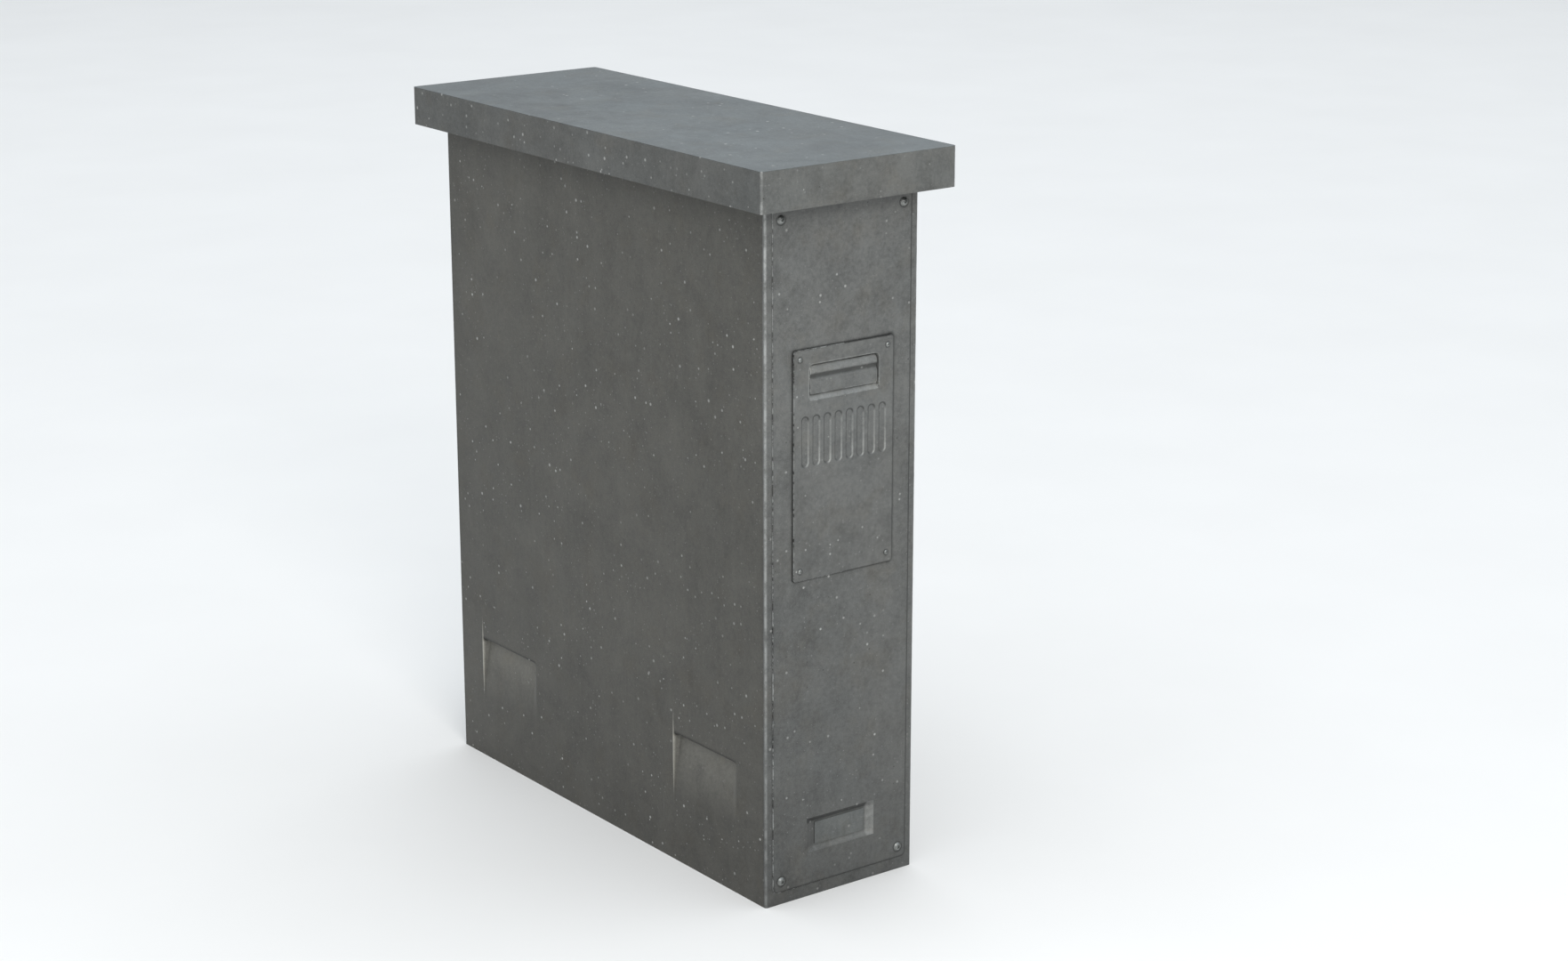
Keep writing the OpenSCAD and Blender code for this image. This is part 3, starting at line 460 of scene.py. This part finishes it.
def face_wear(u, v):
    rim = -box_gap(u, v, HALF, LOW, HIGH, 5.0)
    dish = np.abs(box_gap(u, v, DISH["half"], DISH["low"], DISH["high"], 8.0))
    return np.maximum(ease(1 - rim / 2.2) * np.where(u < 0, 1.0, 0.25), 0.9 * ease(1 - dish / 1.6))


def face_tone(u, v):
    """Painted shade round the plate, inside the dish's top edge, in the flutes' left and top edges and
    round the screws; painted highlights round the dish, on its sill and on the flutes' right edges.
    """
    rim = -box_gap(u, v, HALF, LOW, HIGH, 5.0)
    out = -0.62 * ease(1 - rim / np.where(u > 0, 2.4, 1.5))
    dish = box_gap(u, v, DISH["half"], DISH["low"], DISH["high"], 8.0)
    out = out - 0.5 * ease(1 - np.abs(dish + 1.6) / 1.6) * (v > 846)
    out = out + 0.45 * ease(1 - np.abs(dish - 0.8) / 1.8) * (v > 838)
    out = out + 0.55 * ease((842 - v) / 1.5) * ease((v - 831) / 2) * ease(1 - (np.abs(u) - 66) / 3)
    gap = flute_gap(u, v)
    lane = u / FLUTES["pitch"] + 3.5
    side = (lane - np.round(lane)) * FLUTES["pitch"] / FLUTES["r"]
    ring = ease(1 - np.abs(gap + 1.2) / 2.0)
    top = np.clip((v - 796) / 8, 0, 1)
    out = out - ring * (0.55 * np.clip(-side, 0, 1) + 0.7 * top)
    out = out + ring * np.clip(side, 0, 1) * (1 - top) * (0.45 + 0.9 * ease((775 - v) / 40))
    holes = sum(ease(1 - np.abs(np.hypot(u - x, v - z) - 4.6) / 1.3) for x, z in FACE_SCREWS)
    return out - 0.5 * holes


marks_x = [-HALF, HALF, -69, 69] + [x + k for x in FLUTE_X for k in (-7.5, -5, 5, 7.5)] + [-86.5, 86.5]
marks_z = [LOW, HIGH, 726, 733, 802, 809, 832, 841, 890, 558, 900]
face = pressed("hopper_face_sheet", "hopper", FRONT, graded(-HALF, HALF, marks_x, 0.5, 3.0),
               graded(LOW, HIGH, marks_z, 0.5, 5.0), facing_front(FACE_Y), face_depth,
               lambda u, v, d: np.maximum(d, 0.3) + 1.5, face_wear, face_tone,
               bend=lambda u, v: round_corners(u, v, HALF, LOW, HIGH, 5.0))
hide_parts("hopper_face")

# grip: a roll that faces up, a hollow under it, a flat apron
glo, ghi = mm_box("grip_insert")
G_HALF, G_LOW, G_HIGH = ghi[0], glo[2], ghi[2]
NOSE = 875.0


def grip_depth(u, v):
    t = np.clip((G_HIGH - v) / (G_HIGH - NOSE), 0, 1)
    roll = 0.5 + 5.2 * (1 - np.sin(t * math.pi / 2))
    k = np.clip((NOSE - v) / 14.0, 0, 1)
    hollow = 3.0 * (1 - np.cos(2 * math.pi * k ** 0.8)) / 2
    return roll + hollow + rolled_edge(box_gap(u, v, G_HALF, G_LOW, G_HIGH, 5.0), 1.6)


def grip_wear(u, v):
    gap = -box_gap(u, v, G_HALF, G_LOW, G_HIGH, 5.0)
    return np.maximum(ease(1 - gap / 2.5), 0.35 * ease(1 - np.abs(v - NOSE - 3) / 5))


def grip_tone(u, v):
    """Painted highlight on the upward face of the roll and along its ends, painted shade in the hollow
    under the roll and along its foot.
    """
    gap = -box_gap(u, v, G_HALF, G_LOW, G_HIGH, 5.0)
    roll = 0.42 * ease((v - 874.5) / 3) * ease((G_HIGH - v) / 2)
    hollow = -0.55 * ease((876 - v) / 3) * ease((v - 864) / 5)
    ends = 0.9 * ease(1 - gap / 2.2) * np.where(u < 0, ease((v - 862) / 10), ease((868 - v) / 10))
    return roll + hollow + ends - 0.35 * ease(1 - (v - G_LOW) / 1.4)


grip = pressed("grip_roll", "hopper", FRONT, graded(-G_HALF, G_HALF, [-G_HALF, G_HALF], 0.35, 4.0),
               graded(G_LOW, G_HIGH, [G_LOW, G_HIGH, NOSE, NOSE - 7, NOSE - 14], 0.35, 1.5),
               facing_front(FACE_Y), grip_depth, lambda u, v, d: np.maximum(d + 0.1, 5.95),
               grip_wear, grip_tone,
               bend=lambda u, v: round_corners(u, v, G_HALF, G_LOW, G_HIGH, 5.0))
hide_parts("grip_insert")

# front panel: window, label recess, screw dimples
plo, phi = mm_box("front_panel")
PANEL_Y = plo[1]
P_HALF, P_LOW, P_HIGH = phi[0], plo[2], phi[2]
PANEL_SCREWS = [(x, z) for x in (-120, 120) for z in (40, 1123)]
LBL = dict(half=69.0, low=76.0, high=136.0, depth=5.0, bevel_x=17.0, bevel_z=9.0)


def panel_depth(u, v):
    edge = rolled_edge(box_gap(u, v, P_HALF, P_LOW, P_HIGH, 9.0), 1.0)
    side = np.clip((LBL["half"] - np.abs(u)) / LBL["bevel_x"], 0, 1)
    ends = np.clip(np.minimum(v - LBL["low"], LBL["high"] - v) / LBL["bevel_z"], 0, 1)
    label = LBL["depth"] * ease(np.minimum(side, ends) * 0.94 + 0.03) * (np.minimum(side, ends) > 0)
    rims = sum(0.6 * ease((10.0 - np.hypot(u - x, v - z)) / 1.6) for x, z in PANEL_SCREWS)
    return edge + label + rims


def panel_wear(u, v):
    gap = -box_gap(u, v, P_HALF, P_LOW, P_HIGH, 9.0)
    recess = np.abs(box_gap(u, v, LBL["half"], LBL["low"], LBL["high"], 1.0))
    return np.maximum(ease(1 - gap / 3.0) * np.where(u < 0, 1.0, 0.2), 0.5 * ease(1 - recess / 1.5))


def panel_tone(u, v):
    """Painted shade along the seams, round the hopper plate, on the top and left of the label recess and
    round the screws; painted highlights on the recess's right and bottom bevels.
    """
    rim = -box_gap(u, v, P_HALF, P_LOW, P_HIGH, 9.0)
    seam = ease(1 - rim / np.where((u > 0) | (v < 40), 4.2, 2.6)) * np.where((u > 0) | (v < 40), 0.8, 0.35)
    plate = box_gap(u, v, HALF, LOW, HIGH, 5.0)
    under = ease(1 - plate / np.where(u > 90, 7.0, 3.8)) * np.where((v < LOW + 4) | (u > 90), 0.78, 0.5)
    under = under * (plate > -6)
    label = box_gap(u, v, LBL["half"], LBL["low"], LBL["high"], 1.0)
    inside = label < 0
    right = np.clip((u - 52) / 4, 0, 1) * inside
    foot = ease((88 - v) / 5) * inside * (np.abs(u) < 66)
    top = ease((v - 125) / 4) * inside
    left = ease((-50 - u) / 6) * inside
    rings = sum(ease(1 - np.abs(np.hypot(u - x, v - z) - 8.7) / 1.8) for x, z in PANEL_SCREWS)
    return 0.95 * right + 0.35 * foot - 0.12 * left - 0.60 * top - seam - under - 0.5 * rings


W_HALF, W_LOW, W_HIGH = 92.0, 549.0, 906.0
marks_x = [-P_HALF, P_HALF, -92, 92, -98.5, 98.5, -69, -52, 52, 69, -130, -120, -110, 110, 120, 130]
marks_z = [P_LOW, P_HIGH, 76, 85, 127, 136, 542, 549, 906, 915, 30, 40, 50, 1113, 1123, 1133]
panel = pressed("front_panel_sheet", "cabinet", FRONT, graded(-P_HALF, P_HALF, marks_x, 0.6, 6.0),
                graded(P_LOW, P_HIGH, marks_z, 0.6, 14.0), facing_front(PANEL_Y), panel_depth,
                lambda u, v, d: np.maximum(d, 0.4) + 1.6, panel_wear, panel_tone,
                skip=lambda u, v: (np.abs(u) < W_HALF) & (v > W_LOW) & (v < W_HIGH),
                bend=lambda u, v: round_corners(u, v, P_HALF, P_LOW, P_HIGH, 9.0))
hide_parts("front_panel")

# side sheets: two hand scoops each
SCOOPS = [(-384.5, -208.5), (212.5, 388.5)]
LIP, FOOT, DEEP = 220.0, 112.0, 11.0


def scoop_depth(u, v):
    out = np.zeros(u.shape)
    for y0, y1 in SCOOPS:
        across = ease((u - y0) / 16.0) * ease((y1 - u) / 5.0)
        ramp = np.clip((v - FOOT) / (LIP - FOOT), 0, 1) ** 1.7
        lip = 1 - ease((v - LIP + 2) / 9.0)
        out = np.maximum(out, DEEP * across * ramp * lip)
    return out


def scoop_crease(u, v):
    """The stretched crease that stands at the rear end of each scoop: 1 along its spine."""
    tall = np.clip(1 - ((v - 190.0) / 74.0) ** 2, 0, 1)
    return sum(ease(1 - np.abs(u - y1 - 1.0) / (1.0 + 2.6 * tall)) * tall ** 0.7 for y0, y1 in SCOOPS)


def side_tone(u, v):
    # painted highlight along each scoop's rear crease and up its ramp; painted shade along each scoop's
    # top edge and under the lid's skirt
    out = 3.4 * scoop_crease(u, v)
    for y0, y1 in SCOOPS:
        along = ease((u - y0 + 2) / 10.0) * ease((y1 + 2 - u) / 3.0)
        out = out - 0.70 * along * ease(1 - np.abs(v - LIP - 5.5) / 6.0)
        out = out + 0.95 * along * ease((LIP + 1 - v) / 3.0) * np.clip((v - 120) / 95, 0, 1)
    return np.where(v > 1135, out - 0.45 * ease((v - 1135) / 12), out)


for node, sign in (("side_left", -1), ("side_right", 1)):
    slo, shi = mm_box(node)
    y0, y1, z1 = slo[1], shi[1], shi[2]
    marks_y = [y0, y1] + [m for a, b in SCOOPS for m in (a, a + 8, a + 16, b - 5, b - 2, b, b + 1, b + 3)]
    marks_z = [0, z1, LIP - 3, LIP, LIP + 4, LIP + 8, LIP + 12, 200, 180, 1135, 1145]
    outer = 150.0 * sign

    def place(u, v, d, outer=outer, sign=sign):
        return outer - sign * d, u, v

    def side_wear(u, v, y0=y0):
        lips = sum(ease(1 - np.abs(v - LIP - 12) / 4) * (u > a) * (u < b) for a, b in SCOOPS)
        return np.maximum(0.5 * ease(1 - (u - y0) / 3.0), 0.4 * lips)

    us = graded(y0, y1, marks_y, 0.7, 30.0)
    if sign < 0:
        us = us[::-1]
    sheet = pressed(node + "_sheet", "cabinet", SIDE_SHADED, us, graded(0.0, z1, marks_z, 1.2, 30.0), place,
                    lambda u, v: scoop_depth(u, v) - 0.6 * scoop_crease(u, v), lambda u, v, d: d + 2.0,
                    side_wear, side_tone)
    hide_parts(node)

# ---------------------------------------------------------------- CAD nodes with their finish


def finish_node(name, material, edge=None, width=0.6, segments=2):
    """Gives a CAD node its materials, and softens its edges with modifiers only."""
    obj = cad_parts[name]
    for slot_ in obj.material_slots:
        slot_.material = material
    if not obj.material_slots:
        obj.data.materials.append(material)
    if edge is not None:
        obj.data.materials.append(edge)
    thin = obj.modifiers.new("planar", "DECIMATE")
    thin.decimate_type = "DISSOLVE"
    thin.angle_limit = math.radians(1)
    if width:
        bevel = obj.modifiers.new("edge", "BEVEL")
        bevel.width = width * MM
        bevel.segments = segments
        bevel.limit_method = "ANGLE"
        bevel.angle_limit = math.radians(35)
        bevel.harden_normals = True
        bevel.miter_outer = "MITER_ARC"
        if edge is not None:
            bevel.material = 1
    return obj


finish_node("lid", LID, LID_EDGE, width=2.0, segments=3)
finish_node("front_frame", FRONT, FRONT_EDGE, width=0.8)
finish_node("rear_frame", SIDE_SHADED, FRONT_EDGE, width=0.8)
finish_node("base_pan", INNER, width=0.6)
finish_node("label_plate", LABEL, FRONT_EDGE, width=0.6)
finish_node("door_skin", SIDE_SHADED, FRONT_EDGE, width=0.9)
for name in ("panel_screws", "face_screws"):
    finish_node(name, SCREW, width=0.35)
for name in ("hinge_brackets", "baffle", "deflector_left", "deflector_right", "cheek_left", "cheek_right",
             "hopper_tray", "door_stiffener", "cart_base", "platform_pan"):
    finish_node(name, INNER, width=0.5)
for name in ("frame_hinge_leaves", "door_hinge_leaves"):
    finish_node(name, SIDE_SHADED, width=0.5)
for name in ("lid_studs", "panel_nuts", "bracket_nuts", "hinge_rod", "baffle_nuts", "rear_hinge_pins",
             "lock_keeper", "lock_spindle", "lock_cam", "cam_nut", "caster_plates", "rigid_forks",
             "rear_axles", "swivel_fork_left", "swivel_fork_right", "front_axle_left",
             "front_axle_right"):
    finish_node(name, ZINC, width=0.35)
for name in ("lock_body", "t_handle"):
    finish_node(name, CHROME, width=1.6, segments=3)
for name in ("lid_gasket", "hopper_seal", "rear_seal", "stop_bumpers"):
    finish_node(name, RUBBER, width=0.5)
for name in ("wheel_front_left", "wheel_front_right", "wheel_rear_left", "wheel_rear_right"):
    finish_node(name, TYRE, width=0.8)
finish_node("hinge_bushes", BRONZE, width=0.3)
finish_node("bin_tub", TUB, width=1.2, segments=3)
finish_node("rim_bead", TUB, width=0.9)
finish_node("platform_pad", PAD, width=0.8)
finish_node("platform_springs", SPRING, width=0)

# ---------------------------------------------------------------- stage, light, camera

floor_mat = Shader("floor_pale", Roughness=0.85)
cloudy = floor_mat.span(floor_mat.noise(2.0, 3.0, 0.5), 0.3, 0.7)
floor_mat.finish(floor_mat.mix(cloudy, (0.86, 0.845, 0.825), (0.88, 0.865, 0.845)))
mesh = bpy.data.meshes.new("floor")
R = 20.0
mesh.from_pydata([(-R, -R, 0), (R, -R, 0), (R, R, 0), (-R, R, 0)], [], [(0, 1, 2, 3)])
mesh.materials.append(floor_mat.mat)
floor = bpy.data.objects.new("floor", mesh)
scene.collection.objects.link(floor)

world = bpy.data.worlds.new("studio")
scene.world = world
world.use_nodes = True
world.node_tree.nodes["Background"].inputs[0].default_value = (0.90, 0.94, 1.0, 1.0)
world.node_tree.nodes["Background"].inputs[1].default_value = 0.20


def softbox(name, where, target, size, power, color=(1, 1, 1)):
    light = bpy.data.lights.new(name, "AREA")
    light.shape = "RECTANGLE"
    light.size, light.size_y = size
    light.energy = power
    light.color = color
    obj = bpy.data.objects.new(name, light)
    scene.collection.objects.link(obj)
    obj.location = where
    obj.rotation_mode = "QUATERNION"
    obj.rotation_quaternion = (Vector(target) - Vector(where)).to_track_quat("-Z", "Y")


softbox("sky", (1.2, 1.8, 7.0), (1.2, 1.8, 0), (29.0, 29.0), 2780, (0.90, 0.955, 1.0))
softbox("key", (-1.8, -4.2, 3.2), (0, -0.2, 0.6), (1.8, 1.6), 96, (1.0, 0.98, 0.95))
softbox("rim", (-4.0, 1.6, 2.2), (0, 0, 0.6), (1.6, 2.0), 4, (1.0, 0.97, 0.92))

AZ, EL = math.radians(-36.9575), math.radians(16.1705)
BACK = Vector((math.sin(AZ) * math.cos(EL), -math.cos(AZ) * math.cos(EL), math.sin(EL)))
cam_data = bpy.data.cameras.new("camera")
cam_data.sensor_width = 36.0
cam_data.lens = 36.0 * 3484.864 / 1763.0
cam = bpy.data.objects.new("camera", cam_data)
scene.collection.objects.link(cam)
cam.location = (-2.8909, -4.1542, 2.0505)
cam.rotation_mode = "QUATERNION"
cam.rotation_quaternion = (-BACK).to_track_quat("-Z", "Y")
scene.camera = cam
